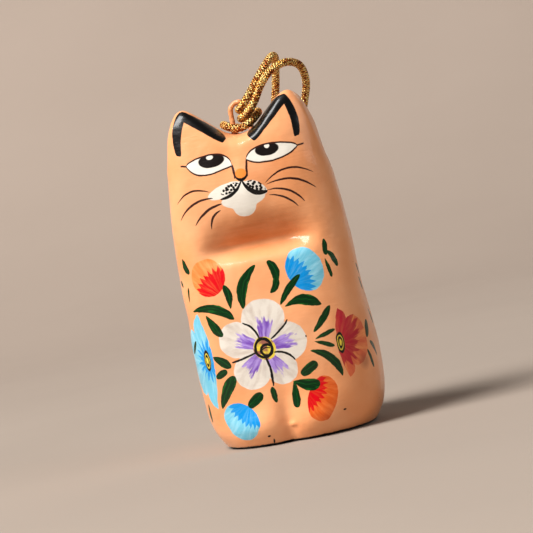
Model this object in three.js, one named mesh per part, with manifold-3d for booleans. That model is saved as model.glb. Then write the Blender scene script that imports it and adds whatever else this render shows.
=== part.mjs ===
// A small papier-mache cat ornament: a seated cat moulded in one piece, with a wire eye on its head and a gold cord
// hitched to the eye. The cat stands on z = 0 and faces -Y. All sizes are in millimetres.
import * as THREE from 'three';
import { mergeVertices } from 'three/addons/utils/BufferGeometryUtils.js';
import Module from 'manifold-3d';

const wasm = await Module();
wasm.setup();

// Driving dimensions
const catHeight = 75;
const catWidth = 39.7;
const catDepth = 38;
const leftEarX = -10.9;
const rightEarX = 11.9;
const valleyDrop = 7.5; // from the ear tips to the top of the head between them
const headTopLevel = 61; // where the head's sides start to round over towards the ears
const creaseLevel = 43.6;
const creaseDepth = 3.9;
const creaseHalfWidth = 14.5; // where the crease has faded out
const chinRise = 7.2; // how far above the crease the chin's underside reaches
const chestRise = 3.8; // how far below the crease the chest's ledge reaches
const muzzleLevel = 55;
const muzzleBulge = 1.1;
const noseRise = 5.5; // from the middle of the muzzle to the middle of the nose
const noseBulge = 0.45;
const pawBulge = 1.9;
const pawSpacing = 12.6;
const pawLevel = 4.4;
const grooveX = -0.7;
const grooveDepth = 1;
const grooveLevel = 4; // where the groove between the paws starts to fade
const haunchY = 4;
const haunchLevel = 14;
const haunchBulge = 0.8;
const loopWire = 1.1;
const loopWidth = 4.9;
const loopHeight = 7.3; // from the head to the top of the wire
const loopX = 0.8;
const cordDiameter = 1.6;
const knotWidth = 4.6;
const knotHeight = 5;
const tailLength = 6;
const fitGap = 0.3;

const halfWidth = catWidth / 2;
const halfDepth = catDepth / 2;
const valleyLevel = catHeight - valleyDrop;

// Each profile is a few stations of [height as a share of the cat's, size as a share of half its width or depth].
const widthProfile = [
  [0, 0.83], [0.03, 0.903], [0.06, 0.952], [0.1, 0.977], [0.17, 0.99], [0.28, 1],
  [0.4, 0.98], [0.52, 0.976], [0.65, 0.947], [0.76, 0.908], [0.815, 0.872], [1, 0.87],
];
const frontProfile = [
  [0, 0.85], [0.03, 0.895], [0.07, 0.915], [0.16, 0.925], [0.32, 0.95], [0.46, 0.93],
  [0.56, 0.9], [0.68, 0.905], [0.78, 0.915], [0.865, 0.885], [0.93, 0.825], [1, 0.75],
];
const backProfile = [
  [0, 0.87], [0.03, 0.935], [0.07, 0.98], [0.16, 1], [0.29, 0.968], [0.43, 0.874],
  [0.56, 0.72], [0.69, 0.537], [0.8, 0.38], [0.88, 0.265], [1, 0.105],
];
const widestProfile = [[0, -0.05], [0.27, -0.18], [0.53, -0.26], [0.8, -0.39], [1, -0.42]];
const frontSquareness = [[0, 2.45], [0.16, 2.8], [0.53, 3.1], [0.8, 3.2], [1, 3.2]];
const backSquareness = [[0, 2.4], [1, 2.4]];
// The top edge, seen from the front: drop below the ear tips, as a share of the drop to the valley or to the head's side.
const innerEarEdge = [[0, 1], [0.2, 0.95], [0.6, 0.46], [0.86, 0.11], [1, 0]];
const outerEarEdge = [[0, 0], [0.16, 0.012], [0.33, 0.065], [0.55, 0.186], [0.74, 0.43], [0.86, 0.67], [1, 1]];

const columnsAcross = 36; // over the front, and as many over the back
const sideRows = 31;
const topRows = 13;
const baseRings = 4;

const clamp = (t) => Math.min(Math.max(t, 0), 1);
const smooth = (t) => clamp(t) ** 2 * (3 - 2 * clamp(t));
const bell = (t) => Math.exp(-t * t);
const mix = (a, b, t) => a + (b - a) * t;

// A smooth curve through the stations that never swings past them
function along(stations, share) {
  const last = stations.length - 1;
  const slopes = stations.slice(1).map(([at, value], i) => (value - stations[i][1]) / (at - stations[i][0]));
  const tangent = (i) => {
    if (i === 0 || i === last) return slopes[i === 0 ? 0 : last - 1];
    const [before, after] = [slopes[i - 1], slopes[i]];
    return before * after <= 0 ? 0 : (2 * before * after) / (before + after);
  };
  const t = clamp(share);
  const i = Math.min(stations.findIndex(([at], n) => n === last || t <= stations[n + 1][0]), last - 1);
  const width = stations[i + 1][0] - stations[i][0];
  const s = (t - stations[i][0]) / width;
  const rise = stations[i + 1][1] - stations[i][1];
  const bend = tangent(i) * width * s * (1 - s) ** 2 - tangent(i + 1) * width * s * s * (1 - s);
  return stations[i][1] + rise * s * s * (3 - 2 * s) + bend;
}

// Where a column meets the top edge: how far it is from the middle to the ear tip, and from the tip to the side
function acrossEar(share) {
  const x = share * halfWidth * along(widthProfile, 1);
  const tip = Math.abs(x < 0 ? leftEarX : rightEarX);
  const side = halfWidth * along(widthProfile, 1);
  return { inner: clamp(Math.abs(x) / tip), outer: clamp((Math.abs(x) - tip) / (side - tip)) };
}

function topLevel(share) {
  const { inner, outer } = acrossEar(share);
  const innerLevel = catHeight - valleyDrop * along(innerEarEdge, inner);
  return outer > 0 ? catHeight - (catHeight - headTopLevel) * along(outerEarEdge, outer) : innerLevel;
}

// The top edge runs nearer the front on the ears than between and beside them
function topEdgeY(share) {
  const { inner, outer } = acrossEar(share);
  const earEdge = -0.65 * halfDepth;
  const valleyEdge = -0.45 * halfDepth;
  return mix(mix(valleyEdge, earEdge, smooth(inner)), -0.4 * halfDepth, smooth(outer));
}

// How much of its full depth the head has at a given drop below its top edge
const roundOver = (drop, radius) => Math.sqrt(1 - (1 - clamp(drop / radius)) ** 2);

function creaseAt(x, z) {
  const reach = z > creaseLevel ? chinRise : chestRise;
  const near = clamp(1 - Math.abs(z - creaseLevel) / reach);
  const depth = creaseDepth * (z > creaseLevel ? near ** 1.5 : smooth(near));
  return depth * smooth((creaseHalfWidth - Math.abs(x)) / (creaseHalfWidth * 0.6));
}

function pawsAt(x, z) {
  const sides = [-0.5, 0.5].map((side) => bell((x - grooveX - side * pawSpacing) / 4.8));
  const bulge = pawBulge * Math.max(...sides) * bell((z - pawLevel) / 3.8);
  const groove = grooveDepth * bell((x - grooveX) / 1.6) * (1 - smooth((z - grooveLevel) / 10));
  return bulge - groove;
}

function faceAt(x, z) {
  const muzzle = muzzleBulge * bell(x / 6.5) * bell((z - muzzleLevel) / 4.6);
  const nose = noseBulge * bell(x / 2) * bell((z - muzzleLevel - noseRise) / 4);
  return muzzle + nose;
}

// A point of the cat's skin: share runs from -1 at its left side to 1, and facing is -1 for the front and 1 for the back
function skinPoint(share, z, facing) {
  const level = z / catHeight;
  const x = share * halfWidth * along(widthProfile, level);
  const drop = topLevel(share) - z;
  const widest = halfDepth * along(widestProfile, level);
  const profile = facing < 0 ? frontProfile : backProfile;
  const power = along(facing < 0 ? frontSquareness : backSquareness, level);
  const fullDepth = facing * halfDepth * along(profile, level);
  const inward = (1 - Math.abs(share) ** power) ** (1 / power);
  let y = widest + (fullDepth - widest) * inward;
  if (facing < 0) y += (creaseAt(x, z) - pawsAt(x, z) - faceAt(x, z)) * smooth(inward * 1.4);
  const { inner } = acrossEar(share);
  const radius = facing < 0 ? mix(3.2, 2.2, inner) : mix(7, 10, inner);
  y = mix(topEdgeY(share), y, roundOver(drop, radius));
  const haunch = smooth(1 - Math.hypot((y - haunchY) / 14, (z - haunchLevel) / 18)) * haunchBulge;
  return [x + Math.sign(x) * haunch * smooth(Math.abs(share) * 2 - 1), y, z];
}

// Columns lie evenly round a rounded square, and a little closer at the middle of the front
function columnShares() {
  const steps = 400;
  const reference = along(frontSquareness, 0.5);
  const depthAt = (share) => (1 - share ** reference) ** (1 / reference);
  const lengths = [0];
  for (let i = 1; i <= steps; i += 1) {
    const [a, b] = [(i - 1) / steps, i / steps].map((t) => Math.sin((t * Math.PI) / 2));
    lengths.push(lengths[i - 1] + Math.hypot(b - a, depthAt(b) - depthAt(a)));
  }
  const half = columnsAcross / 2;
  const shares = [];
  for (let i = 0; i <= half; i += 1) {
    const evenly = i / half;
    const wanted = (evenly - 0.12 * Math.sin(Math.PI * evenly)) * lengths[steps];
    const step = Math.max(lengths.findIndex((length) => length >= wanted - 1e-9), 1);
    const part = (wanted - lengths[step - 1]) / (lengths[step] - lengths[step - 1]);
    shares.push(i === half ? 1 : Math.sin(((step - 1 + part) / steps) * (Math.PI / 2)));
  }
  return [...shares.slice(1).reverse().map((share) => -share), ...shares];
}

// Rows are closer near the base and at the crease
function rowLevels(top) {
  const steps = 600;
  const density = (z) => 1 + 2.4 * bell(z / 5) + 1.5 * bell((z - creaseLevel) / 5);
  const sums = [0];
  for (let i = 0; i < steps; i += 1) sums.push(sums[i] + density(((i + 0.5) / steps) * top));
  const levels = [];
  for (let row = 0; row <= sideRows; row += 1) {
    const wanted = (row / sideRows) * sums[steps];
    levels.push((sums.findIndex((sum) => sum >= wanted - 1e-6) / steps) * top);
  }
  return levels;
}

function buildBody() {
  const shares = columnShares();
  const across = shares.length - 1;
  const around = 2 * across;
  const blendLevel = headTopLevel - 3;
  const levels = rowLevels(blendLevel);
  const ring = (levelOf) => {
    const points = [];
    for (let i = 0; i < around; i += 1) {
      const share = i <= across ? shares[i] : shares[around - i];
      points.push(skinPoint(share, levelOf(share), i <= across ? -1 : 1));
    }
    return points;
  };
  const rings = levels.map((level) => ring(() => level));
  for (let row = 1; row < topRows; row += 1) {
    const part = 1 - (1 - row / topRows) ** 1.8;
    rings.push(ring((share) => mix(blendLevel, topLevel(share), part)));
  }
  const positions = [];
  const triangles = [];
  const add = (point) => positions.push(...point) / 3 - 1;
  const quad = (a, b, c, d) => triangles.push(a, b, c, a, c, d);
  const indices = rings.map((points) => points.map(add));
  for (let row = 0; row + 1 < indices.length; row += 1) {
    for (let i = 0; i < around; i += 1) {
      const next = (i + 1) % around;
      quad(indices[row][i], indices[row][next], indices[row + 1][next], indices[row + 1][i]);
    }
  }
  // The front and the back meet along the top edge, and the side columns end below it
  const last = indices[indices.length - 1];
  const edge = shares.map((share) => add([share * halfWidth * along(widthProfile, 1), topEdgeY(share), topLevel(share)]));
  for (let i = 0; i < across; i += 1) {
    quad(last[i], last[i + 1], edge[i + 1], edge[i]);
    quad(last[(around - i - 1) % around], last[(around - i) % around], edge[i], edge[i + 1]);
  }
  let outer = indices[0];
  const middle = [0, -0.02 * halfDepth, 0];
  for (let ringNumber = 1; ringNumber < baseRings; ringNumber += 1) {
    const size = 1 - ringNumber / baseRings;
    const inner = rings[0].map((point) => add(point.map((value, axis) => mix(middle[axis], value, size))));
    for (let i = 0; i < around; i += 1) {
      const next = (i + 1) % around;
      quad(outer[next], outer[i], inner[i], inner[next]);
    }
    outer = inner;
  }
  const centre = add(middle);
  for (let i = 0; i < around; i += 1) triangles.push(outer[(i + 1) % around], outer[i], centre);
  const geometry = new THREE.BufferGeometry();
  geometry.setAttribute('position', new THREE.Float32BufferAttribute(positions, 3));
  geometry.setIndex(triangles);
  return geometry;
}

function tubeAlong(points, diameter, sides, stepsPerMillimetre) {
  const path = new THREE.CatmullRomCurve3(points.map((point) => new THREE.Vector3(...point)), false, 'centripetal');
  const section = new THREE.Shape();
  for (let i = 0; i < sides; i += 1) {
    const angle = (i / sides) * 2 * Math.PI;
    const place = [(diameter / 2) * Math.cos(angle), (diameter / 2) * Math.sin(angle)];
    if (i === 0) section.moveTo(...place);
    else section.lineTo(...place);
  }
  section.closePath();
  const steps = Math.round(path.getLength() * stepsPerMillimetre);
  return new THREE.ExtrudeGeometry(section, { steps, extrudePath: path });
}

// The wire eye: two legs that stand on the head and a half ring over them
const loopY = topEdgeY(loopX / halfWidth);
const legX = (loopWidth - loopWire) / 2;

function buildLoop() {
  const archLevel = valleyLevel + loopHeight - loopWire / 2 - legX;
  const footLevel = (side) => topLevel((loopX + side * legX) / (halfWidth * along(widthProfile, 1))) + fitGap;
  const points = [];
  const legSteps = 3;
  const archSteps = 12;
  for (let i = 0; i < legSteps; i += 1) points.push([loopX - legX, loopY, mix(footLevel(-1), archLevel, i / legSteps)]);
  for (let i = 0; i <= archSteps; i += 1) {
    const angle = Math.PI * (1 - i / archSteps);
    points.push([loopX + legX * Math.cos(angle), loopY, archLevel + legX * Math.sin(angle)]);
  }
  for (let i = 1; i <= legSteps; i += 1) points.push([loopX + legX, loopY, mix(archLevel, footLevel(1), i / legSteps)]);
  return tubeAlong(points, loopWire, 10, 1.6);
}

// The cord's two runs, each from the hitch round the eye, over the head and down the back to the knot
const leftRun = [
  [0.8, -6.2, 72.6], [0.8, -8.5, 72.6], [1.2, -10.3, 72.7], [2.4, -11.3, 73.6], [3.9, -11.2, 75.3],
  [5.9, -10.4, 77.9], [8.1, -8.8, 80.7], [9.7, -6.4, 82.6], [10.2, -3.4, 82.6], [9.6, -0.6, 80],
  [8.6, 1.9, 76.2], [7.3, 3.9, 72], [5.6, 5.9, 67], [3.6, 8.2, 60.5], [1.5, 10.6, 54],
  [-0.3, 13.1, 47.5], [-1.5, 15.3, 41], [-1.7, 17.4, 34.5], [-0.9, 19.2, 28],
];
const rightRun = [
  [-0.2, -6.2, 68.9], [-1.7, -6.5, 69.2], [-3.1, -8.2, 70.1], [-1.6, -10.5, 69], [0.8, -11.2, 68.6],
  [3.1, -10.9, 69.5], [4.9, -8.8, 71.3], [4, -6.3, 71.4], [2.1, -5.5, 70.9], [0.8, -6.9, 70.7],
  [1, -8.8, 70.7], [1.9, -10.6, 71], [3.5, -11.6, 72], [5.3, -11.4, 73.9], [7.4, -10.6, 76.5],
  [10, -9, 79], [13.2, -6.6, 80.4], [15.6, -3.4, 79.6], [15.8, 0, 76.4], [14.2, 3, 72],
  [11.7, 5.4, 66.6], [9.2, 7.8, 60.5], [7.1, 10.2, 54], [5.5, 12.7, 47.5], [4.4, 15, 41],
  [3.2, 17.2, 34.5], [1.4, 19.2, 28],
];
const knotPlace = [0.2, 20.5, 25.1];

function asSolid(geometry) {
  const bare = geometry.clone();
  bare.deleteAttribute('normal');
  bare.deleteAttribute('uv');
  const merged = mergeVertices(bare, 1e-4);
  const vertProperties = new Float32Array(merged.attributes.position.array);
  const triVerts = new Uint32Array(merged.index.array);
  return new wasm.Manifold(new wasm.Mesh({ numProp: 3, vertProperties, triVerts }));
}

function asGeometry(solid) {
  const { vertProperties, triVerts, numProp } = solid.getMesh();
  const positions = [];
  for (let i = 0; i < vertProperties.length; i += numProp) positions.push(...vertProperties.slice(i, i + 3));
  const geometry = new THREE.BufferGeometry();
  geometry.setAttribute('position', new THREE.Float32BufferAttribute(positions, 3));
  geometry.setIndex([...triVerts]);
  return geometry;
}

// The knot: a pulled-tight overhand knot, waisted like two turns, with its two tails below
function buildKnot() {
  const bulb = new THREE.SphereGeometry(1, 16, 12);
  bulb.rotateX(Math.PI / 2);
  const places = bulb.attributes.position;
  for (let i = 0; i < places.count; i += 1) {
    const level = places.getZ(i);
    const waist = 1 - 0.14 * bell(level / 0.25);
    places.setX(i, places.getX(i) * waist);
    places.setY(i, places.getY(i) * waist);
  }
  bulb.scale(knotWidth / 2, knotWidth * 0.42, knotHeight / 2);
  bulb.translate(...knotPlace);
  const [x, y, z] = knotPlace;
  const tails = [-1, 1].map((side) => tubeAlong([
    [x + side * 0.9, y, z - 1.2],
    [x + side * 1.3, y - 0.3, z - 3],
    [x + side * 2.1, y - 0.6, z - 1.6 - tailLength * 0.6],
    [x + side * 3, y - 0.5, z - 1.6 - tailLength],
  ], cordDiameter * 0.95, 8, 0.7));
  return asGeometry(tails.reduce((solid, tail) => solid.add(asSolid(tail)), asSolid(bulb)));
}

const paintedPeach = new THREE.MeshStandardMaterial({ color: 0xe9a577, roughness: 0.22, metalness: 0 });
const paintedWire = new THREE.MeshStandardMaterial({ color: 0xe39c6a, roughness: 0.3, metalness: 0 });
const goldCord = new THREE.MeshStandardMaterial({ color: 0xc9962f, roughness: 0.35, metalness: 0.9 });

const cat = new THREE.Group();
cat.name = 'papier_mache_cat';

function addPiece(name, geometry, material) {
  const mesh = new THREE.Mesh(geometry, material);
  mesh.name = name;
  cat.add(mesh);
}

addPiece('body', buildBody(), paintedPeach);
addPiece('hanging_loop', buildLoop(), paintedWire);
addPiece('hanging_cord_left', tubeAlong(leftRun, cordDiameter, 8, 0.36), goldCord);
addPiece('hanging_cord_right', tubeAlong(rightRun, cordDiameter, 8, 0.4), goldCord);
addPiece('cord_knot', buildKnot(), goldCord);

export default cat;
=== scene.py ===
import math

import bmesh
import bpy
import numpy as np
from mathutils import Matrix, Vector, noise
from mathutils.bvhtree import BVHTree


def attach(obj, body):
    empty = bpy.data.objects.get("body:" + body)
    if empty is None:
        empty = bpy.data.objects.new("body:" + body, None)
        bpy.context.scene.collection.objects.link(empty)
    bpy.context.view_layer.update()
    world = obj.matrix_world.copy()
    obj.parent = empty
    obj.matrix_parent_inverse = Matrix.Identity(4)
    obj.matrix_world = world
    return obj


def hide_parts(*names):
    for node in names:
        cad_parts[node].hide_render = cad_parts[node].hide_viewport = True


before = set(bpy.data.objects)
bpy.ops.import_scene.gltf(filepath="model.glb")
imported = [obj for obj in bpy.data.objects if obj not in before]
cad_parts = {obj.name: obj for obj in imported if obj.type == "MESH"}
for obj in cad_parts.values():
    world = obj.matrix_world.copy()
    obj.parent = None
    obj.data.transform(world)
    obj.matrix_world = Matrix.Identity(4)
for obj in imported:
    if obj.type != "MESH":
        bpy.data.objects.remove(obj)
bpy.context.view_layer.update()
print("frame loaded")

mm = 0.001


# small helpers


def onlySelect(thing):
    if bpy.context.object and bpy.context.object.mode != "OBJECT":
        bpy.ops.object.mode_set(mode="OBJECT")
    bpy.ops.object.select_all(action="DESELECT")
    thing.select_set(True)
    bpy.context.view_layer.objects.active = thing


def tint(red, green, blue):
    # a colour as read off the screen, 0 to 255, turned into light
    steps = [value / 255 for value in (red, green, blue)]
    return tuple(v / 12.92 if v <= 0.04045 else ((v + 0.055) / 1.055) ** 2.4 for v in steps) + (1,)


# camera: level with the cat, turned a little to its left and rolled as the cat lies in the photograph

view = {
    "target": (1.13, -18, 38.2),
    "distance": 450,
    "azimuth": 6.5,
    "elevation": 1.5,
    "roll": -11.2,
    "lens": 142.3,
}


def placeCamera():
    turn, rise = math.radians(view["azimuth"]), math.radians(view["elevation"])
    away = Vector((math.sin(turn) * math.cos(rise), -math.cos(turn) * math.cos(rise), math.sin(rise)))
    right = Vector((0, 0, 1)).cross(away).normalized()
    up = away.cross(right)
    bpy.ops.object.camera_add()
    camera = bpy.context.object
    camera.data.lens = view["lens"]
    camera.data.sensor_width = 36
    camera.data.clip_start = 0.02
    place = (Vector(view["target"]) + away * view["distance"]) * mm
    axes = Matrix((right, up, away)).transposed().to_4x4()
    roll = Matrix.Rotation(math.radians(view["roll"]), 4, "Z")
    camera.matrix_world = Matrix.Translation(place) @ axes @ roll
    bpy.context.scene.camera = camera


placeCamera()


# shader maths: a socket that can be added and multiplied


class Wire:
    def __init__(self, tree, socket=None):
        self.tree = tree
        self.socket = socket
        self.parts = None

    def node(self, kind, settings=None, sockets=None, output=0):
        made = self.tree.nodes.new("ShaderNode" + kind)
        for name, value in (settings or {}).items():
            setattr(made, name, value)
        for name, value in (sockets or {}).items():
            if isinstance(value, Wire):
                self.tree.links.new(value.socket, made.inputs[name])
            else:
                made.inputs[name].default_value = value
        return Wire(self.tree, made.outputs[output])

    def maths(self, operation, *others, clamp=False):
        settings = {"operation": operation, "use_clamp": clamp}
        return self.node("Math", settings, dict(enumerate((self,) + others)))

    def __add__(self, other):
        return self.maths("ADD", other)

    def __sub__(self, other):
        return self.maths("SUBTRACT", other)

    def __rsub__(self, other):
        return self.node("Math", {"operation": "SUBTRACT"}, {0: other, 1: self})

    def __mul__(self, other):
        return self.maths("MULTIPLY", other)

    def __truediv__(self, other):
        return self.maths("DIVIDE", other)

    def __pow__(self, other):
        return self.maths("POWER", other)

    def __abs__(self):
        return self.maths("ABSOLUTE")

    __radd__ = __add__

    def ramped(self, slope, start=0.5):
        # 0 to 1 across an edge: slope is how steep it is, start its value where self is 0
        return self.maths("MULTIPLY_ADD", slope, start, clamp=True)

    def most(self, other):
        return self.maths("MAXIMUM", other)

    def least(self, other):
        return self.maths("MINIMUM", other)

    def split(self):
        if not self.parts:
            separated = self.node("SeparateXYZ", {}, {0: self})
            self.parts = [Wire(self.tree, socket) for socket in separated.socket.node.outputs]
        return self.parts

    def measured(self, place, turn, size=1):
        # how far along and across a turned direction a flat point lies from a place, with size as the unit
        x, y, _ = self.split()
        unit = size if isinstance(size, tuple) else (size, size)
        cos, sin = math.cos(turn), math.sin(turn)
        ways = []
        for towardsX, towardsY, one in ((cos, sin, unit[0]), (-sin, cos, unit[1])):
            shift = -(place[0] * towardsX + place[1] * towardsY) / one
            part = x.maths("MULTIPLY_ADD", towardsX / one, shift)
            ways.append(y.maths("MULTIPLY_ADD", towardsY / one, part))
        return ways

    def farFrom(self, place, turn, size):
        # how far a flat point lies from a place, in ellipses of that turn and size
        along, across = self.measured(place, turn, size)
        return along.maths("MULTIPLY_ADD", along, across * across).maths("SQRT")

    def tinted(self, first, second):
        # the first colour where self is 0, the second where it is 1
        return self.node("Mix", {"data_type": "RGBA"}, {0: self, 6: first, 7: second}, output=2)

    def under(self, colour, mask):
        # self with a coat of colour laid over it where mask is 1
        return mask.tinted(self, colour)

    def noise(self, scale, detail=2, output=0):
        return self.node("TexNoise", {}, {"Vector": self, "Scale": scale, "Detail": detail}, output)


def newMaterial(name, look):
    material = bpy.data.materials.new(name)
    material.use_nodes = True
    tree = material.node_tree
    tree.nodes.clear()
    surface = look(Wire(tree))
    outlet = tree.nodes.new("ShaderNodeOutputMaterial")
    tree.links.new(surface.socket, outlet.inputs["Surface"])
    return material


# gold cord: one length from the wire eye over the head, through the knot on the back and up again

cord = {
    "diameter": 1.6,
    "length": 0.199,
    "strands": 5,  # in each direction round the braid
    "lay": 3.3,  # mm that a strand travels along while it goes once round
    "depth": 0.2,  # how deep the braid's valleys are, as a share of the radius
    "fluff": 1.06,  # the braid is a little fuller than its nominal size
    "mean": 0.94,  # its mean girth, as a share of its fullest
    "step": 0.12,
    "around": 36,
}

leftRun = [
    (0.8, -6.2, 72.6), (0.8, -8.5, 72.6), (1.2, -10.3, 72.7), (2.4, -11.3, 73.6), (3.9, -11.2, 75.3),
    (5.9, -10.4, 77.9), (8.1, -8.8, 80.7), (9.7, -6.4, 82.6), (10.2, -3.4, 82.6), (9.6, -0.6, 80),
    (8.6, 1.9, 76.2), (7.3, 3.9, 72), (5.6, 5.9, 67), (3.6, 8.2, 60.5), (1.5, 10.6, 54),
    (-0.3, 13.1, 47.5), (-1.5, 15.3, 41), (-1.7, 17.4, 34.5), (-0.9, 19.2, 28),
]
rightRun = [
    (-0.2, -6.2, 68.9), (-1.6, -6.4, 69.2), (-2.8, -7.3, 69.8), (-3.1, -8.7, 70), (-2.4, -10.1, 69.5),
    (-0.9, -11, 68.8), (0.9, -11.2, 68.6), (3.1, -10.9, 69.5), (4.7, -9.2, 71), (4.5, -7, 71.5),
    (3.2, -5.6, 71.3), (1.6, -5.6, 70.9), (0.8, -7.1, 70.7),
    (1, -8.8, 70.7), (1.9, -10.6, 71), (3.5, -11.7, 72), (5, -12, 73.8), (6.7, -11.6, 76.6),
    (9.1, -9.9, 79.3), (12.6, -7, 80.8), (15.2, -3.6, 79.8), (15.7, 0, 76.4), (14.2, 3, 72),
    (11.7, 5.4, 66.6), (9.2, 7.8, 60.5), (7.1, 10.2, 54), (5.5, 12.7, 47.5), (4.4, 15, 41),
    (3.2, 17.2, 34.5), (1.4, 19.2, 28),
]
knotPlace = (0.2, 20.5, 25.1)
insideKnot = [(-0.9, 20, 26.3), (-0.6, 20.4, 25.2), (0.2, 20.5, 24.7), (1, 20.4, 25.2), (1.3, 20, 26.3)]


def smoothRoute(points, step):
    # points joined by one smooth curve, then set out again at even steps (all in mm)
    corners = [Vector(point) for point in points]
    corners = [corners[0] * 2 - corners[1]] + corners + [corners[-1] * 2 - corners[-2]]
    between = 24
    fine = []
    for a, b, c, d in zip(corners, corners[1:], corners[2:], corners[3:]):
        ab, bc, cd = [math.sqrt((q - p).length) for p, q in ((a, b), (b, c), (c, d))]
        leave = ((b - a) / ab - (c - a) / (ab + bc) + (c - b) / bc) * bc
        arrive = ((c - b) / bc - (d - b) / (bc + cd) + (d - c) / cd) * bc
        for k in range(between):
            t = k / between
            fine.append(
                b * (2 * t**3 - 3 * t**2 + 1) + leave * (t**3 - 2 * t**2 + t)
                + c * (3 * t**2 - 2 * t**3) + arrive * (t**3 - t**2)
            )
    fine = np.array([list(point) for point in fine + [corners[-2]]])
    run = np.concatenate(([0], np.cumsum(np.linalg.norm(np.diff(fine, axis=0), axis=1))))
    count = max(4, round(run[-1] / step))
    marks = np.linspace(0, run[-1], count + 1)
    return np.column_stack([np.interp(marks, run, fine[:, k]) for k in range(3)])


def tubeAlong(name, route, around, radiusAt):
    # a closed tube; radiusAt gives its radius in mm from the turn (0 to 1) and the length run (mm)
    ahead = np.gradient(route, axis=0)
    ahead /= np.linalg.norm(ahead, axis=1)[:, None]
    side = np.zeros_like(route)
    first = np.cross(ahead[0], (0.31, 0.2, 0.93))
    side[0] = first / np.linalg.norm(first)
    for k in range(1, len(route)):
        carried = side[k - 1] - ahead[k] * side[k - 1].dot(ahead[k])
        side[k] = carried / np.linalg.norm(carried)
    other = np.cross(ahead, side)
    run = np.concatenate(([0], np.cumsum(np.linalg.norm(np.diff(route, axis=0), axis=1))))
    turns = np.arange(around) / around
    radius = radiusAt(turns[None, :], run[:, None]) * np.ones((len(route), around))
    swing = 2 * math.pi * turns
    rings = (
        route[:, None] + radius[..., None] * (np.cos(swing)[None, :, None] * side[:, None]
                                              + np.sin(swing)[None, :, None] * other[:, None])
    )
    last = len(route) - 1
    faces = []
    for k in range(last):
        for j in range(around):
            n = (j + 1) % around
            faces.append((k * around + j, k * around + n, (k + 1) * around + n, (k + 1) * around + j))
    faces.append(tuple(range(around - 1, -1, -1)))
    faces.append(tuple(last * around + j for j in range(around)))
    mesh = bpy.data.meshes.new(name)
    mesh.from_pydata((rings.reshape(-1, 3) * mm).tolist(), [], faces)
    runMap = mesh.uv_layers.new(name="cordRun")
    places = []
    for k in range(last):
        for j in range(around):
            places += [(j, k), (j + 1, k), (j + 1, k + 1), (j, k + 1)]
    places += [(0, 0)] * around + [(0, last)] * around
    flat = np.array(places, dtype=float)
    girth = 2 * math.pi * radius.mean()
    unrolled = np.column_stack((flat[:, 0] / around * girth, run[flat[:, 1].astype(int)]))
    runMap.data.foreach_set("uv", unrolled.ravel())
    tube = bpy.data.objects.new(name, mesh)
    bpy.context.collection.objects.link(tube)
    onlySelect(tube)
    bpy.ops.object.shade_smooth()
    return tube


def braidRadius(turn, run):
    # two sets of strands wind opposite ways and pass over and under each other
    half = cord["diameter"] / 2 * cord["fluff"]
    right = np.cos(np.pi * cord["strands"] * (turn + run / cord["lay"]))
    left = np.cos(np.pi * cord["strands"] * (turn - run / cord["lay"]))
    over = np.clip(right * left * 2.5 + 0.5, 0, 1)
    height = over * np.abs(right) + (1 - over) * np.abs(left)
    return half * (1 - cord["depth"] + 1.35 * cord["depth"] * height)


foil = {
    "deep": tint(232, 152, 40),
    "bright": tint(255, 234, 156),
    "copper": tint(158, 76, 12),
    "coreInShade": tint(60, 20, 3),
    "flakes": 2.3,  # glinting flakes to a mm
    "metallic": 0.72,
    "bump": 0.9,
    "relief": 0.2,  # mm
}


def goldThread(start):
    # metal foil wound on a brown core: bright where a strand crowns, dark in the gaps where the core shows
    # and as painted shade between the strands, with stray glints
    run = start.node("UVMap", {"uv_map": "cordRun"})
    across, along, _ = run.split()
    strands, lay = cord["strands"], cord["lay"]
    girth = math.pi * cord["diameter"] * cord["fluff"] * cord["mean"]
    right = ((across / girth + along / lay) * (math.pi * strands)).maths("COSINE")
    left = ((across / girth - along / lay) * (math.pi * strands)).maths("COSINE")
    over = (right * left).ramped(4)
    crown = start.node("Mix", {"data_type": "FLOAT"}, {0: over, 2: abs(left), 3: abs(right)})
    gap = (1 - crown).ramped(2.2, -0.75)
    sockets = {"Vector": run, "Scale": foil["flakes"]}
    flakes = run.node("TexVoronoi", {"voronoi_dimensions": "2D"}, sockets, output="Color")
    sparkle, tilt, _ = flakes.split()
    sockets = {"Vector": run, "Rotation": (0, 0, -0.7), "Scale": (20, 2, 1)}
    threads = run.node("Mapping", {}, sockets).noise(1, 1)
    colour = sparkle.tinted(foil["deep"], foil["bright"])
    colour = colour.under(foil["copper"], (tilt - 0.62).ramped(6, 0))
    # the gaps between strands: the brown core, deepened as painted shade
    colour = colour.under(foil["coreInShade"], gap)
    height = crown * 0.6 + threads * 0.35 + sparkle * 0.35
    sockets = {"Strength": foil["bump"], "Distance": foil["relief"] * mm, "Height": height}
    bump = start.node("Bump", {}, sockets)
    return start.node("BsdfPrincipled", {}, {
        "Base Color": colour,
        "Metallic": foil["metallic"],
        "Roughness": sparkle * 0.22 + 0.24,
        "Normal": bump,
    })


goldCord = newMaterial("goldCord", goldThread)

cordRoute = smoothRoute(leftRun + insideKnot + rightRun[::-1], cord["step"])
hangingCord = tubeAlong("hangingCord", cordRoute, cord["around"], braidRadius)
hangingCord.data.materials.append(goldCord)
print("cord made,", len(hangingCord.data.polygons), "faces")


# the knot on the back: the doubled cord's overhand knot, with two short frayed tails

knot = {"size": 0.52, "depth": 0.55, "tailLength": 6}


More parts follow.
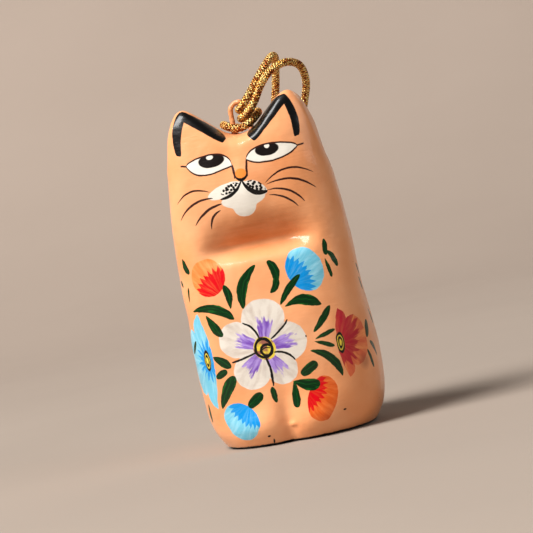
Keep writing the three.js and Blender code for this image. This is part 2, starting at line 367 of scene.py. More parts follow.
def makeKnot():
    x, y, z = knotPlace
    turns = np.linspace(0, 2 * math.pi, 26)
    loops = [
        (
            x + knot["size"] * (math.sin(t) + 2 * math.sin(2 * t)),
            y - knot["depth"] * math.sin(3 * t),
            z - 0.2 + knot["size"] * (math.cos(t) - 2 * math.cos(2 * t)),
        )
        for t in turns
    ]
    parts = [tubeAlong("knotLoops", smoothRoute(loops, cord["step"]), cord["around"], braidRadius)]
    for side in (-1, 1):
        tail = [
            (x + side * 0.6, y, z - 0.8),
            (x + side * 1.1, y - 0.1, z - 2.6),
            (x + side * 1.9, y - 0.4, z - 1.6 - knot["tailLength"] * 0.55),
            (x + side * 2.7, y - 0.4, z - 1.5 - knot["tailLength"]),
        ]
        route = smoothRoute(tail, cord["step"])
        reach = np.linalg.norm(np.diff(route, axis=0), axis=1).sum()

        def frayed(turn, run, reach=reach):
            flare = np.clip((run - reach + 1.1) / 1.1, 0, 1)
            return braidRadius(turn, run) * (1 + 0.12 * flare * np.cos(turn * 14 * math.pi))

        parts.append(tubeAlong("knotTail", route, cord["around"], frayed))
    onlySelect(parts[0])
    for part in parts[1:]:
        part.select_set(True)
    bpy.ops.object.join()
    parts[0].name = "overhandKnot"
    parts[0].data.materials.append(goldCord)
    return parts[0]


overhandKnot = makeKnot()
print("knot made")


# wire eye: bent wire under the cat's own paint, with a bead of paint at each foot

eye = {"x": 0.8, "y": -8.6, "wire": 1.1, "width": 4.9, "top": 74.8, "foot": 67.1, "bead": 0.4}


def makeEye():
    reach = (eye["width"] - eye["wire"]) / 2
    middle = eye["top"] - eye["wire"] / 2 - reach
    arch = [
        (eye["x"] - reach * math.cos(t), eye["y"], middle + reach * math.sin(t))
        for t in np.linspace(0, math.pi, 13)
    ]
    legs = [eye["foot"], (eye["foot"] * 2 + middle) / 3, (eye["foot"] + middle * 2) / 3]
    bend = [(eye["x"] - reach, eye["y"], level) for level in legs] + arch
    bend += [(eye["x"] + reach, eye["y"], level) for level in reversed(legs)]
    route = smoothRoute(bend, 0.15)
    whole = np.linalg.norm(np.diff(route, axis=0), axis=1).sum()

    def paintedWire(turn, run):
        fromFoot = np.minimum(run, whole - run)
        lumps = 0.02 * np.sin(run * 2.3 + 1) + 0.015 * np.sin(run * 5.1 + turn * 6.3)
        return eye["wire"] / 2 + lumps + eye["bead"] * np.exp(-((fromFoot / 0.9) ** 2))

    return tubeAlong("wireEye", route, 20, paintedWire)


wireEye = makeEye()
print("wire eye made")


# body: the moulded cat under its lacquer

body = {
    "sag": (0.2, 0.17),  # slow unevenness in the papier-mache: its height in mm, and waves to a mm
    "grit": (0.035, 0.8),  # finer unevenness
    "nib": (0.2, 4, 0.75, 0.45),  # a dried drip on a paw: x, level, half width and height in mm
    "skirt": 0.55,  # how far the black of the underside comes up the edge, mm
}


def vertexNumbers(mesh, kind):
    numbers = np.zeros(len(mesh.vertices) * 3)
    mesh.vertices.foreach_get(kind, numbers)
    return numbers.reshape(-1, 3)


def makeBody():
    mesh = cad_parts["body"].data.copy()
    skin = bpy.data.objects.new("lacqueredCat", mesh)
    bpy.context.collection.objects.link(skin)
    onlySelect(skin)
    mesh.materials.clear()
    bpy.ops.object.mode_set(mode="EDIT")
    bpy.ops.mesh.select_all(action="SELECT")
    bpy.ops.mesh.remove_doubles(threshold=0.000002)
    bpy.ops.mesh.tris_convert_to_quads()
    bpy.ops.mesh.customdata_custom_splitnormals_clear()
    bpy.ops.object.mode_set(mode="OBJECT")
    bpy.ops.object.modifier_add(type="SUBSURF")
    skin.modifiers[-1].levels = 2
    skin.modifiers[-1].render_levels = 2
    bpy.ops.object.modifier_apply(modifier=skin.modifiers[-1].name)
    bpy.ops.object.shade_smooth()
    places, outward = vertexNumbers(mesh, "co") / mm, vertexNumbers(mesh, "normal")
    nibX, nibLevel, nibReach, nibHeight = body["nib"]
    fadeIn = 1.5
    for k, (x, y, z) in enumerate(places):
        lift = 0
        for height, waves in (body["sag"], body["grit"]):
            lift += height * noise.noise((x * waves, y * waves, z * waves))
        if y < 0:
            aside, above = (x - nibX) / nibReach, (z - nibLevel) / nibReach * 1.5
            lift += nibHeight * math.exp(-aside ** 2 - above ** 2)
        places[k] += outward[k] * lift * min(1, max(0, z / fadeIn))
    mesh.vertices.foreach_set("co", (places * mm).ravel())
    mesh.update()
    return skin


def measureSlack(skin):
    # paint follows the surface: slack is how much longer the way round is than the straight way across
    tree = BVHTree.FromObject(skin, bpy.context.evaluated_depsgraph_get())
    lowest, highest, ways = 1, 65, 121
    levels = np.arange(float(lowest), highest + 1)
    turns = np.linspace(0, math.pi, ways)
    table = np.zeros((len(levels), len(turns)))
    for row, level in enumerate(levels):
        middle = Vector((0, 0, level * mm))
        hits = [tree.ray_cast(middle, Vector((math.sin(t), -math.cos(t), 0)))[0] for t in turns]
        points = np.array([list(hit / mm) for hit in hits])
        steps = np.linalg.norm(np.diff(points, axis=0), axis=1)
        table[row] = np.concatenate(([0], np.cumsum(steps))) - points[:, 0]
    places = vertexNumbers(skin.data, "co") / mm
    row = np.clip(places[:, 2] - levels[0], 0, len(levels) - 1.001)
    column = np.arctan2(np.abs(places[:, 0]), -places[:, 1]) / math.pi * (len(turns) - 1.001)
    r, c = row.astype(int), column.astype(int)
    dr, dc = row - r, column - c
    slack = (
        table[r, c] * (1 - dr) * (1 - dc) + table[r + 1, c] * dr * (1 - dc)
        + table[r, c + 1] * (1 - dr) * dc + table[r + 1, c + 1] * dr * dc
    )
    skin.data.attributes.new("slack", "FLOAT", "POINT").data.foreach_set("value", slack.astype(np.float32))


lacqueredCat = makeBody()
measureSlack(lacqueredCat)
print("body made,", len(lacqueredCat.data.polygons), "faces")


# paint: strokes and blobs on the unrolled surface, in mm from the middle of the front and up from the base

peach = tint(244, 171, 120)
peachDeep = tint(235, 153, 98)
black = tint(7, 6, 6)
leafDark = tint(0, 42, 10)
leafLight = tint(16, 100, 32)
# painted shade for the crease under the chin, laid on as thin brown brush streaks
foldShadeBrown = tint(196, 110, 52)
foldShadeReach = ((0.6, 46.2), 0, (15, 5.4))
white = tint(236, 229, 216)


def unrolled(start, wobble=0.22):
    # across and level on the unrolled skin, with a hand painter's unsteady line
    place = start.node("TexCoord", {}, {}, output="Object")
    place = place.node("VectorMath", {"operation": "SCALE"}, {0: place, "Scale": 1000})
    x, y, z = place.split()
    slack = start.node("Attribute", {"attribute_name": "slack"}, {}, output="Fac")
    around = x + x.maths("SIGN") * slack
    flat = start.node("CombineXYZ", {}, {0: around, 1: z})
    shake = flat.noise(0.55, 2, output="Color")
    shake = shake.node("VectorMath", {"operation": "SUBTRACT"}, {0: shake, 1: (0.5, 0.5, 0.5)})
    shake = shake.node("VectorMath", {"operation": "SCALE"}, {0: shake, "Scale": wobble * 2})
    flat = flat.node("VectorMath", {"operation": "ADD"}, {0: flat, 1: shake})
    return flat, place, z


def stroke(flat, start, end, width, bend=0, lean=0, point=0.5):
    # one touch of a loaded brush: bend bows it to its left, lean moves its belly to the end, and point
    # sharpens it
    soft = 0.1
    length = math.dist(start, end)
    turn = math.atan2(end[1] - start[1], end[0] - start[0])
    along, across = flat.measured(start, turn, length)
    hump = along.maths("MULTIPLY", 1 - along, clamp=True)
    if bend:
        across = hump.maths("MULTIPLY_ADD", -4 * bend / length, across)
    belly = hump ** point * (4 ** point * width / 2 / length)
    if lean:
        belly = belly * along.maths("MULTIPLY_ADD", 2 * lean, 1 - lean)
    return (belly - abs(across)).ramped(length / soft, 0), across * length


def blob(flat, centre, radii, turn=0, soft=0.1):
    return (1 - flat.farFrom(centre, turn, radii)).ramped(min(radii) / soft)


def blobs(flat, several):
    mask = blob(flat, *several[0])
    for one in several[1:]:
        mask = mask.most(blob(flat, *one))
    return mask


def leafSpray(flat, coat, leaves):
    cover = None
    for leaf in leaves:
        mask, across = stroke(flat, *leaf)
        if cover is None:
            cover, grain = mask, across
        else:
            cover = cover.most(mask)
            grain = grain.node("Mix", {"data_type": "FLOAT"}, {0: mask, 2: grain, 3: across})
    brush = flat.node("CombineXYZ", {}, {0: grain * 1.7, 1: flat.noise(0.35, 1) * 2}).noise(1.3, 2)
    green = (brush - 0.5).ramped(5, 0).tinted(leafDark, leafLight)
    return coat.under(green, cover)


def bud(flat, coat, centre, radii, lie, facing, outer, inner, tip, edge):
    # a closed flower: a pale outer petal with darker strokes combed out of its base the way it faces
    shape = blob(flat, centre, radii, lie, 0.12)
    pivot, teeth, reach = 6, 1.05, 1.2
    ahead, aside = flat.measured(centre, math.radians(facing))
    ahead = ahead + pivot
    reached = (ahead * ahead + aside * aside).maths("SQRT") - pivot
    spread = aside.maths("ARCTAN2", ahead) * pivot
    streak = flat.node("CombineXYZ", {}, {0: spread, 1: reached * 0.12}).noise(1.5, 2)
    tooth = (spread + streak * 0.7).maths("PINGPONG", teeth / 2)
    comb = tooth.maths("MULTIPLY_ADD", reach * 2 / teeth, edge - reach * 0.7) + (streak - 0.5) * 1.4
    dark = (comb - reached).ramped(1 / 0.22) * (1.35 - streak * 0.8)
    petal = (streak - 0.42).ramped(3.2, 0).tinted(flowers[outer], flowers[tip])
    petal = petal.under(flowers[inner], dark)
    return coat.under(petal, shape)


gloss = {
    "specular": 0.2,
    "coat": 0.28,
    "coatRoughness": 0.1,
    "bump": 0.25,
    "relief": 0.22,  # mm
}


def lacquer(start, flat, coat, place, level):
    # the black dipped underside, faint brush marks and one clear gloss over everything
    ragged = flat.noise(0.8, 2) * 0.5
    skirt = (body["skirt"] + ragged - 0.25 - level).ramped(12)
    coat = coat.under(black, skirt)
    brushed = place.node("Mapping", {}, {"Vector": place, "Scale": (0.35, 0.35, 2.6)}).noise(1, 2)
    height = brushed * 0.6 + place.noise(0.7, 1) * 0.4
    sockets = {"Strength": gloss["bump"], "Distance": gloss["relief"] * mm, "Height": height}
    bump = start.node("Bump", {}, sockets)
    return start.node("BsdfPrincipled", {}, {
        "Base Color": coat,
        "Roughness": brushed * 0.14 + 0.24,
        "Normal": bump,
        "Specular IOR Level": gloss["specular"],
        "Coat Weight": gloss["coat"],
        "Coat Roughness": gloss["coatRoughness"],
    })


def peachCoat(place):
    cloud = place.noise(0.09, 3)
    return (cloud - 0.35).ramped(3, 0).tinted(peach, peachDeep)


def chinShade(flat, coat):
    # brown brushed thinly into the fold below the chin: brush streaks, and painted shade that darkens the
    # crease under the head
    fold = (1 - flat.farFrom(*foldShadeReach)).ramped(1.4, 0)
    streaks = flat.node("Mapping", {}, {"Vector": flat, "Scale": (0.1, 0.7, 1)}).noise(1, 2)
    return coat.under(foldShadeBrown, fold * (streaks * 0.9 + 0.2))


# the face

face = {
    "irisDark": tint(22, 14, 12),
    "line": tint(52, 24, 18),
    "noseOrange": tint(236, 138, 58),
    "nose": ((-0.45, 58.8), (1.2, 1.05)),
    "pads": [((2.2, 55.2), (2.6, 1.3), -0.62), ((-4.6, 55.8), (4.0, 1.35), 0.22)],
    "spotted": [((2.3, 55.4), (2.2, 1.15), -0.62), ((-3.4, 56.0), (2.3, 0.95), 0.3)],
    "spot": 0.46,
    "topEdge": 25.6,
    "chin": [((-1.0, 53.3), (4.8, 1.7)), ((-1.0, 51.5), (2.4, 1.9)), ((-0.8, 54.6), (2.9, 2.5))],
    # outer corner, inner corner, (height, lean, fullness) of the upper and the lower lid, iris, glint
    "leftEye": (
        (-12.1, 62.5), (-2.1, 60.7), (2.4, 0.4, 0.5), (1.8, -0.6, 0.9),
        (-6.3, 62.7), (2.9, 1.5), (-6.5, 63.4), (0.75, 0.5),
    ),
    "rightEye": (
        (12.6, 62.4), (1.3, 61.6), (1.95, 0.28, 0.6), (1.8, 0.05, 0.68),
        (6, 62.8), (2.6, 1.4), (6.1, 63.5), (0.55, 0.5),
    ),
    # start, end, width, bend, lean, point
    "ears": [
        ((-13.4, 65.0), (-10.9, 74.2), 2.4, 0.9, 0.2, 0.14),
        ((-11.9, 73.9), (-2.7, 66.4), 2.2, 0.25, -0.1, 0.14),
        ((2.8, 65.9), (11.4, 73.1), 3.2, 0.3, -0.12, 0.14),
        ((11.2, 73.8), (12.9, 64.4), 1.9, 0.9, 0, 0.12),
    ],
    "whiskers": [
        ((4.4, 55.8), (15.2, 56), 0.54, 2.1, -0.1, 0.35),
        ((4.5, 55.4), (15.1, 52.7), 0.58, 1.6, 0.1, 0.35),
        ((4.5, 54.2), (11.9, 50.3), 0.58, 1.3, 0.1, 0.35),
        ((4.6, 53.1), (10.3, 49.5), 0.54, 0.8, 0.1, 0.35),
        ((-7.9, 56.1), (-16.4, 54.8), 0.5, -1.5, -0.1, 0.35),
        ((-7.5, 54.7), (-16.2, 51.2), 0.6, -1.3, -0.2, 0.35),
        ((-5.8, 53.2), (-12.6, 49.6), 0.68, -0.8, -0.2, 0.35),
        ((-6.3, 51.9), (-9.1, 48.2), 0.6, -0.8, -0.1, 0.35),
    ],
    "mouth": [
        ((-0.5, 57.3), (-5.9, 54.1), 0.8, 0.9, 0.15, 0.3),
        ((-0.5, 57.3), (4.5, 53.9), 1.15, -1.2, 0.3, 0.3),
    ],
    "bridge": [
        ((-2.5, 61.9), (-1.9, 57.9), 0.62, 0.3, 0.1, 0.3),
        ((1.5, 61.9), (0.9, 57.9), 0.6, -0.15, 0.1, 0.3),
    ],
    "noseFrame": [
        ((-2.0, 59.6), (-0.1, 57.1), 0.85, -0.4, 0.2, 0.25),
        ((1.1, 59.6), (-0.7, 57.1), 0.85, 0.4, 0.2, 0.25),
    ],
}


def paintEye(flat, coat, outer, inner, upper, lower, iris, irisSize, glint, glintSize):
    # an almond between two arcs, an iris cut off by the lids, and a thin line round it with a tail outwards
    length = math.dist(outer, inner)
    turn = math.atan2(inner[1] - outer[1], inner[0] - outer[0])
    along, across = flat.measured(outer, turn, length)
    hump = along.maths("MULTIPLY", 1 - along, clamp=True) * 4
    side = 1 if inner[0] > outer[0] else -1
    lids = []
    for (height, lean, fullness), above in ((upper, -side), (lower, side)):
        arc = hump ** fullness * along.maths("MULTIPLY_ADD", 2 * lean, 1 - lean)
        lids.append(arc * (height / length) + across * above)
    inside = lids[0].least(lids[1]) * length
    coat = coat.under(white, inside.ramped(10, 0))
    irisMask = blob(flat, iris, irisSize, 0, 0.12).least((inside - 0.08).ramped(9))
    coat = coat.under(face["irisDark"], irisMask)
    coat = coat.under(white, blob(flat, glint, glintSize, 0, 0.12))
    near = (0.19 - abs(inside)).ramped(9)
    tail = (along + 0.15).ramped(30, 0).least((1.0 - along).ramped(30, 0.5))
    return coat.under(face["line"], near * tail)


def faceLook(start):
    flat, place, level = unrolled(start, 0.12)
    coat = chinShade(flat, peachCoat(place))
    # muzzle, chin and the spotted whisker pads
    chin = None
    for centre, radii in face["chin"]:
        away = 1 - flat.farFrom(centre, 0, radii)
        chin = away if chin is None else chin.maths("SMOOTH_MAX", away, 0.55)
    coat = coat.under(white, chin.ramped(18))
    coat = coat.under(white, blobs(flat, face["pads"]))
    sockets = {"Vector": flat, "Scale": 1.5, "Randomness": 0.85}
    dabs = flat.node("TexVoronoi", {"voronoi_dimensions": "2D"}, sockets)
    spots = (face["spot"] - dabs).ramped(9)
    coat = coat.under(black, spots.least(blobs(flat, face["spotted"])))
    for line in face["mouth"] + face["noseFrame"]:
        coat = coat.under(black, stroke(flat, *line)[0])
    for line in face["bridge"] + face["whiskers"]:
        coat = coat.under(face["line"], stroke(flat, *line)[0])
    coat = coat.under(face["noseOrange"], blob(flat, *face["nose"]))
    coat = paintEye(flat, coat, *face["leftEye"])
    coat = paintEye(flat, coat, *face["rightEye"])
    # the strokes on the ears end at the head's top edge, which lies further forward the higher it is
    inFront = (face["topEdge"] - (place.split()[1] + level * 0.5)).ramped(5)
    for line in face["ears"]:
        coat = coat.under(black, stroke(flat, *line)[0].least(inFront))
    return lacquer(start, flat, coat, place, level)


# the flowers

flowers = {
    "purple": tint(120, 78, 176),
    "lilac": tint(178, 150, 222),
    "petal": tint(226, 217, 204),
    "petalShade": tint(204, 190, 176),
    "yellow": tint(236, 208, 70),
    "brown": tint(158, 98, 78),
    "orange": tint(236, 128, 62),
    "orangeTip": tint(248, 158, 92),
    "red": tint(208, 0, 18),
    "deepOrange": tint(214, 90, 28),
    "deepTip": tint(234, 120, 56),
    "sky": tint(108, 186, 210),
    "skyTip": tint(152, 210, 228),
    "blue": tint(0, 138, 212),
    "crimson": tint(184, 26, 46),
    "rust": tint(222, 102, 64),
}

# start, end, width, bend, lean, point
frontLeaves = [
    ((-18.3, 43.2), (-16.7, 39.6), 1.6, 0, 0.45, 0.6),
    ((-21.4, 38.6), (-20.4, 36.9), 1.2, 0, 0, 0.5),
    ((-18.0, 36.8), (-18.7, 33.4), 0.7, 0, -0.3, 0.6),
    ((-8.9, 36.0), (-8.3, 30.7), 1.7, 0.4, -0.3, 0.6),
    ((-1.3, 39.0), (-5.6, 30.3), 2.4, -1.4, 0.1, 0.5),
    ((1.6, 39.4), (2.5, 34.3), 2.0, 0.6, -0.1, 0.4),
    ((2.7, 36.0), (0.9, 32.4), 1.6, 0.5, -0.1, 0.45),
    ((2.4, 29.6), (7.7, 35.2), 1.6, 0.35, 0.15, 0.5),
    ((3.2, 29.1), (11.2, 28.0), 2.4, 1.3, 0.35, 0.7),
    ((8.3, 22.5), (12.9, 27.5), 1.6, -0.2, 0.15, 0.55),
    ((8.2, 21.0), (13.0, 22.3), 1.05, 0, 0.4, 0.6),
    ((8.0, 20.6), (12.2, 18.7), 1.1, 0.1, 0.4, 0.6),
    ((6.8, 18.8), (12.8, 12.0), 2.0, 1.45, 0.15, 0.65),
    ((4.0, 14.0), (7.7, 16.1), 2.2, 0, 0, 0.35),
    ((1.9, 12.9), (7.5, 11.2), 2.5, -0.2, 0.45, 0.5),
    ((2.1, 12.9), (1.9, 7.3), 1.7, 0, 0.5, 0.4),
    ((-2.8, 12.6), (-2.5, 9.2), 1.4, 0, 0, 0.45),
    ((-8.7, 9.2), (-5.1, 11.6), 2.3, 0, 0, 0.35),
    ((-15.4, 9.7), (-10.5, 16.3), 2.6, 0.2, 0.35, 0.5),
    ((-14.9, 16.5), (-11.9, 17.7), 1.7, 0, 0, 0.35),
    ((-14.7, 21.1), (-10.8, 18.3), 2.1, 0.1, 0.3, 0.55),
    ((-14.4, 30.2), (-11.3, 25.2), 2.1, -0.2, 0.4, 0.55),
    ((-17.9, 31.5), (-7.9, 28.5), 2.2, 1.45, 0.3, 0.5),
    ((14.1, 41.7), (14.2, 38.1), 1.25, 0, 0.1, 0.45),
    ((14.5, 39.1), (16.3, 35.3), 1.3, 0.3, 0.1, 0.45),
    ((13.8, 37.5), (14.6, 33.3), 0.95, 0, 0.3, 0.5),
    ((23.9, 35.0), (26.2, 32.6), 1.2, 0, 0, 0.5),
    ((24.0, 32.0), (27.8, 29.0), 1.3, 0, 0.2, 0.5),
    ((22.7, 22.7), (21.4, 18.9), 1.9, 0, -0.1, 0.45),
    ((22.3, 17.9), (25.9, 14.2), 1.4, 0.4, -0.2, 0.5),
    ((20.6, 16.4), (22.6, 12.1), 1.2, 0, 0.1, 0.45),
    ((-19.3, 25.0), (-21.7, 22.3), 1.2, 0, 0, 0.5),
    ((-20.4, 10.9), (-21.7, 6.6), 1.2, 0, 0, 0.5),
    ((28.0, 24.5), (31.5, 21.0), 1.7, 0.3, 0.2, 0.5),
    ((-25.5, 29.5), (-29.5, 32.5), 1.9, 0.3, 0.2, 0.5),
    ((-26.5, 16.5), (-30.0, 12.5), 1.9, 0.3, 0.2, 0.5),
]

# centre, radii, lie, the way it faces (degrees), its outer petal, inner petal and pale streaks, and how far
# the inner petal comes out
frontBuds = [
    ((-12.2, 38.1), (4.0, 4.1), 0.3, 122, "orange", "red", "orangeTip", 0.9),
    ((9, 36.1), (3.9, 4.9), 0.35, 29, "sky", "blue", "skyTip", 0.7),
    ((-11.5, 6.3), (4.5, 4.1), -0.4, 227, "sky", "blue", "skyTip", 0.1),
    ((7.7, 8.2), (3.3, 4.8), -0.3, -38, "deepOrange", "red", "deepTip", 0),
]

sideFlowers = [
    {
        "centre": (13.3, 19), "side": 1, "size": 7.2, "tall": 1.08, "rim": 0.2, "deep": 0.5, "lift": 0.45,
        "outer": "rust", "tip": "orangeTip", "inner": "crimson",
    },
    {
        "centre": (-16.2, 20.3), "side": -1, "size": 8, "tall": 1.3, "rim": 1.2, "deep": 0.22, "lift": 0.1,
        "outer": "sky", "tip": "skyTip", "inner": "blue",
    },
]

bigFlower = {
    "centre": (-2.7, 21.1),
    "petals": [
        ((-1.9, 27.5), (4.7, 4.2)),
        ((2.5, 21.7), (4.1, 4.2)),
        ((0.2, 16.1), (3.3, 3.4)),
        ((-6.3, 16.6), (4.1, 3.9)),
        ((-8.4, 23.9), (4.0, 3.9)),
        ((-2.7, 21.4), (5.0, 5.0)),
    ],
    "veins": [
        ((-3.3, 22.8), (-6.4, 27.3), 0.6, -0.7, 0, 0.2),
        ((-1.0, 22.8), (3.3, 26.3), 0.58, -0.3, 0, 0.2),
        ((-4.4, 20.6), (-10.4, 19.3), 0.58, 0.2, 0, 0.2),
        ((-2.9, 19.6), (-2.5, 12.7), 0.64, 0.4, 0, 0.2),
        ((-0.9, 19.9), (3.3, 17.5), 0.6, 0.65, 0, 0.2),
    ],
    "heart": (2.35, 2.6),
    "rings": [((-2.9, 21.2), (1.75, 2.0)), ((-2.3, 20.7), (1.2, 1.2))],
    "ringWidth": 0.29,
    "curl": ((-3.4, 20.7), (-1.4, 20.9), 0.4, 0.45, 0, 0.2),
    "lobeTurn": 40,
}

# stray touches of the dark brush, and a smudge: centre, radii
specks = [
    ((-5.7, 2.4), (0.35, 0.22)),
    ((-4.9, 1.1), (0.22, 0.5)),
    ((12.7, 4.9), (0.4, 0.2)),
    ((6.5, 22), (0.16, 0.24)),
]
smudge = ((19, 14.1), (1.3, 1.5))
smudgeBrown = tint(150, 82, 56)


def ring(flat, centre, radii, thick):
    size = min(radii)
    soft = 0.09
    return (thick / size - abs(flat.farFrom(centre, 0, radii) - 1)).ramped(size / soft)


def paintBigFlower(flat, coat):
    shape = None
    for centre, radii in bigFlower["petals"]:
        away = 1 - flat.farFrom(centre, 0, radii)
        shape = away if shape is None else shape.maths("SMOOTH_MAX", away, 0.05)
    across, up = flat.measured(bigFlower["centre"], 0)
    far = (across * across + up * up).maths("SQRT")
    turn = up.maths("ARCTAN2", across)
    rays = flat.node("CombineXYZ", {}, {0: across / far, 1: up / far, 2: far * 0.05})
    streak = rays.noise(5.5, 3)
    comb = rays.noise(9, 2)
    petal = (streak - 0.45).ramped(3.5, 0).tinted(flowers["petal"], flowers["petalShade"])
    lobes = (turn * 5 - math.radians(bigFlower["lobeTurn"])).maths("COSINE")
    reach = lobes.ramped(1.3, 0.75) * (comb * 7.5 + 1) + 1.6
    cover = (reach - far).ramped(0.9, 0.3)
    purple = (streak - 0.35).ramped(4, 0).tinted(flowers["purple"], flowers["lilac"])
    petal = petal.under(purple, cover)
    coat = coat.under(petal, shape.ramped(32))
    yolk = blob(flat, bigFlower["centre"], bigFlower["heart"], 0.4, 0.14)
    patches = (flat.noise(0.55, 1) - 0.52).ramped(12)
    coat = coat.under(patches.tinted(flowers["yellow"], flowers["brown"]), yolk)
    outerRing, innerRing = [ring(flat, *one, bigFlower["ringWidth"]) for one in bigFlower["rings"]]
    lines = outerRing.most(innerRing)
    for line in [bigFlower["curl"]] + bigFlower["veins"]:
        lines = lines.most(stroke(flat, *line)[0])
    return coat.under(black, lines)


def paintSideFlower(flat, coat, flower):
    # half a flower that opens from the front corner towards the side
    centre, side, size = flower["centre"], flower["side"], flower["size"]
    across, up = flat.measured(centre, 0, (side, flower["tall"]))
    far = (across * across + up * up).maths("SQRT")
    turn = up.maths("ARCTAN2", across)
    rays = flat.node("CombineXYZ", {}, {0: across / far, 1: up / far, 2: far * 0.04})
    streak = rays.noise(5, 2)
    lobes = abs((turn * 1.5).maths("COSINE"))
    edge = lobes ** 0.5 * (size * 0.38) + size * 0.66 + streak * 0.8
    rimLine = across + flower["rim"] + streak * 0.5 - up * up * 0.03
    shape = (edge - far).ramped(8).least(rimLine.ramped(8))
    petal = (streak - 0.42).ramped(3, 0).tinted(flowers[flower["outer"]], flowers[flower["tip"]])
    comb = (turn * 5.5 + streak * 3).maths("PINGPONG", 1) * (size * 0.24)
    comb = comb + up.most(0) * flower["lift"] + size * flower["deep"]
    petal = petal.under(flowers[flower["inner"]], (comb - far).ramped(2.2) * (1.3 - streak * 0.8))
    coat = coat.under(petal, shape)
    heart = (centre[0] + side * 0.3, centre[1] + 0.2)
    coat = coat.under(flowers["yellow"], blob(flat, heart, (0.95, 2.2)))
    lines = ring(flat, heart, (0.8, 2.0), 0.13).most(ring(flat, heart, (0.4, 1.1), 0.12))
    return coat.under(black, lines)


def bellyLook(start):
    flat, place, level = unrolled(start)
    coat = chinShade(flat, peachCoat(place))
    for flower in sideFlowers:
        coat = paintSideFlower(flat, coat, flower)
    for closed in frontBuds:
        coat = bud(flat, coat, *closed)
    coat = paintBigFlower(flat, coat)
    coat = leafSpray(flat, coat, frontLeaves)
    coat = coat.under(smudgeBrown, blob(flat, *smudge, 0, 1.2) * 0.5)
    coat = coat.under(face["irisDark"], blobs(flat, specks))
    return lacquer(start, flat, coat, place, level)


# the back isn't shown in the photograph, so it has only a few plain sprigs
backBuds = [
    ((42.5, 27), (3.4, 3.8), 0, 90, "sky", "blue", "skyTip", 0),
    ((-43, 25.5), (3.4, 3.8), 0, 90, "orange", "red", "orangeTip", 0),
]
backLeaves = [
    ((40, 30.5), (37, 35.5), 2.0, 0.5, 0.2, 0.5),
    ((43, 30), (47, 34.5), 2.0, -0.5, 0.2, 0.5),
    ((41.5, 24), (37.5, 20.5), 1.9, 0.5, 0.2, 0.5),
    ((44.5, 23.5), (48.5, 19.5), 1.9, -0.5, 0.2, 0.5),
    ((51, 41), (54, 37), 1.7, 0.3, 0.2, 0.5),
    ((50.5, 12), (53.5, 8), 1.7, 0.3, 0.2, 0.5),
    ((-40, 30.5), (-37, 35.5), 2.0, -0.5, 0.2, 0.5),
    ((-43, 30), (-47, 34.5), 2.0, 0.5, 0.2, 0.5),
    ((-41.5, 21), (-38, 17), 1.9, -0.5, 0.2, 0.5),
    ((-45, 21), (-49, 17.5), 1.9, 0.5, 0.2, 0.5),
    ((-51, 40), (-54, 36.5), 1.7, -0.3, 0.2, 0.5),
    ((-50, 9.5), (-53.5, 6.5), 1.7, -0.3, 0.2, 0.5),
]


def backLook(start):
    flat, place, level = unrolled(start)
    coat = peachCoat(place)
    for closed in backBuds:
        coat = bud(flat, coat, *closed)
    coat = leafSpray(flat, coat, backLeaves)
    return lacquer(start, flat, coat, place, level)


wireBrown = tint(196, 112, 62)


def wireLook(start):
    place = start.node("TexCoord", {}, {}, output="Object")
    place = place.node("VectorMath", {"operation": "SCALE"}, {0: place, "Scale": 1000})
    coat = peachCoat(place)
    grime = place.noise(0.9, 2)
    coat = coat.under(wireBrown, (grime - 0.5).ramped(4, 0))
    bump = start.node("Bump", {}, {"Strength": 0.4, "Distance": 0.2 * mm, "Height": place.noise(1.2, 2)})
    sockets = {"Base Color": coat, "Roughness": grime * 0.2 + 0.2, "Normal": bump}
    return start.node("BsdfPrincipled", {}, sockets)


for name, look in (("paintedFace", faceLook), ("paintedBelly", bellyLook), ("paintedBack", backLook)):
    lacqueredCat.data.materials.append(newMaterial(name, look))
    print(name, "has", len(lacqueredCat.data.materials[-1].node_tree.nodes), "nodes")
wireEye.data.materials.append(newMaterial("paintedWire", wireLook))

faceFloor, backStart = 45.6, 6.5
for polygon in lacqueredCat.data.polygons:
    if polygon.center.z > faceFloor * mm:
        polygon.material_index = 0
    else:
        polygon.material_index = 2 if polygon.center.y > backStart * mm else 1
print("paint done")


# floor, light and surroundings

studio = {
    # the floor is tinted darker than the sweep: painted shade that evens out the stronger light on the
    # floor
    "floor": (tint(158, 144, 131), tint(148, 135, 123)),
    "wall": (tint(182, 165, 151), tint(174, 157, 143)),
    "cardSize": 3.2,
    "sweepHeight": 1.6,
    "sweepCurve": (0.6, 18),
    "world": tint(232, 230, 228),
    "worldStrength": 0.17,
    "aim": 0.038,
    # degrees round the cat and above it, distance, width and height in metres, watts, warmth
    "window": (-52, 48, 1.5, 0.7, 1.0, 47, (1, 0.985, 0.975)),
    "fill": (66, 20, 0.9, 0.5, 0.5, 1.3, (0.94, 0.97, 1)),
    "behind": (165, 16, 1.3, 0.8, 0.6, 5, (1, 0.98, 0.96)),
}


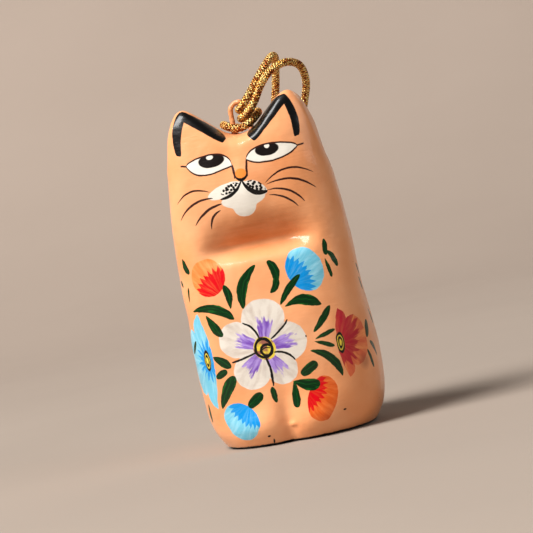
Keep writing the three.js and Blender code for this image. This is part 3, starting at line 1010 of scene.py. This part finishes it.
def makeFloor():
    bpy.ops.mesh.primitive_plane_add(size=studio["cardSize"], location=(0, -0.5, 0))
    floor = bpy.context.object
    floor.name = "paleFloor"
    onlySelect(floor)
    bpy.ops.object.transform_apply(location=True)
    bpy.ops.object.mode_set(mode="EDIT")
    shape = bmesh.from_edit_mesh(floor.data)
    for edge in shape.edges:
        edge.select = all(vertex.co.y > 1 for vertex in edge.verts)
    shape.select_flush_mode()
    bmesh.update_edit_mesh(floor.data)
    bpy.ops.mesh.extrude_region_move(TRANSFORM_OT_translate={"value": (0, 0, studio["sweepHeight"])})
    bpy.ops.object.mode_set(mode="OBJECT")
    bpy.ops.object.modifier_add(type="BEVEL")
    floor.modifiers[-1].width, floor.modifiers[-1].segments = studio["sweepCurve"]
    bpy.ops.object.modifier_apply(modifier=floor.modifiers[-1].name)
    bpy.ops.object.shade_smooth()

    def look(start):
        place = start.node("TexCoord", {}, {}, output="Object")
        dust = place.noise(9, 3)
        near = dust.tinted(*studio["floor"])
        far = dust.tinted(*studio["wall"])
        # darker on the floor, paler up the sweep: painted shade against the floor's brighter light
        colour = near.under(far, (place.split()[1] - 0.5).ramped(1.2))
        return start.node("BsdfPrincipled", {}, {"Base Color": colour, "Roughness": 0.85})

    floor.data.materials.append(newMaterial("paleCard", look))


def addLight(name):
    around, rise, distance, width, height, watts, warmth = studio[name]
    turn, up = math.radians(around), math.radians(rise)
    away = Vector((math.sin(turn) * math.cos(up), -math.cos(turn) * math.cos(up), math.sin(up)))
    aim = Vector((0, 0, studio["aim"]))
    bpy.ops.object.light_add(type="AREA", location=aim + away * distance)
    light = bpy.context.object
    light.name = name
    light.data.shape = "RECTANGLE"
    light.data.size = width
    light.data.size_y = height
    light.data.energy = watts
    light.data.color = warmth
    light.rotation_euler = away.to_track_quat("Z", "Y").to_euler()


def lightWorld():
    world = bpy.data.worlds.new("paleRoom")
    bpy.context.scene.world = world
    world.use_nodes = True
    backdrop = world.node_tree.nodes["Background"]
    backdrop.inputs["Color"].default_value = studio["world"]
    backdrop.inputs["Strength"].default_value = studio["worldStrength"]


makeFloor()
for lamp in ("window", "fill", "behind"):
    addLight(lamp)
lightWorld()
bpy.context.scene.view_settings.view_transform = "Standard"
print("stage set")


# each piece joins the root body, and the frame's parts that it stands for are hidden

for piece in (lacqueredCat, wireEye, hangingCord, overhandKnot):
    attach(piece, "root")
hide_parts("body")
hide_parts("hanging_loop")
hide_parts("hanging_cord_left", "hanging_cord_right")
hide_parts("cord_knot")
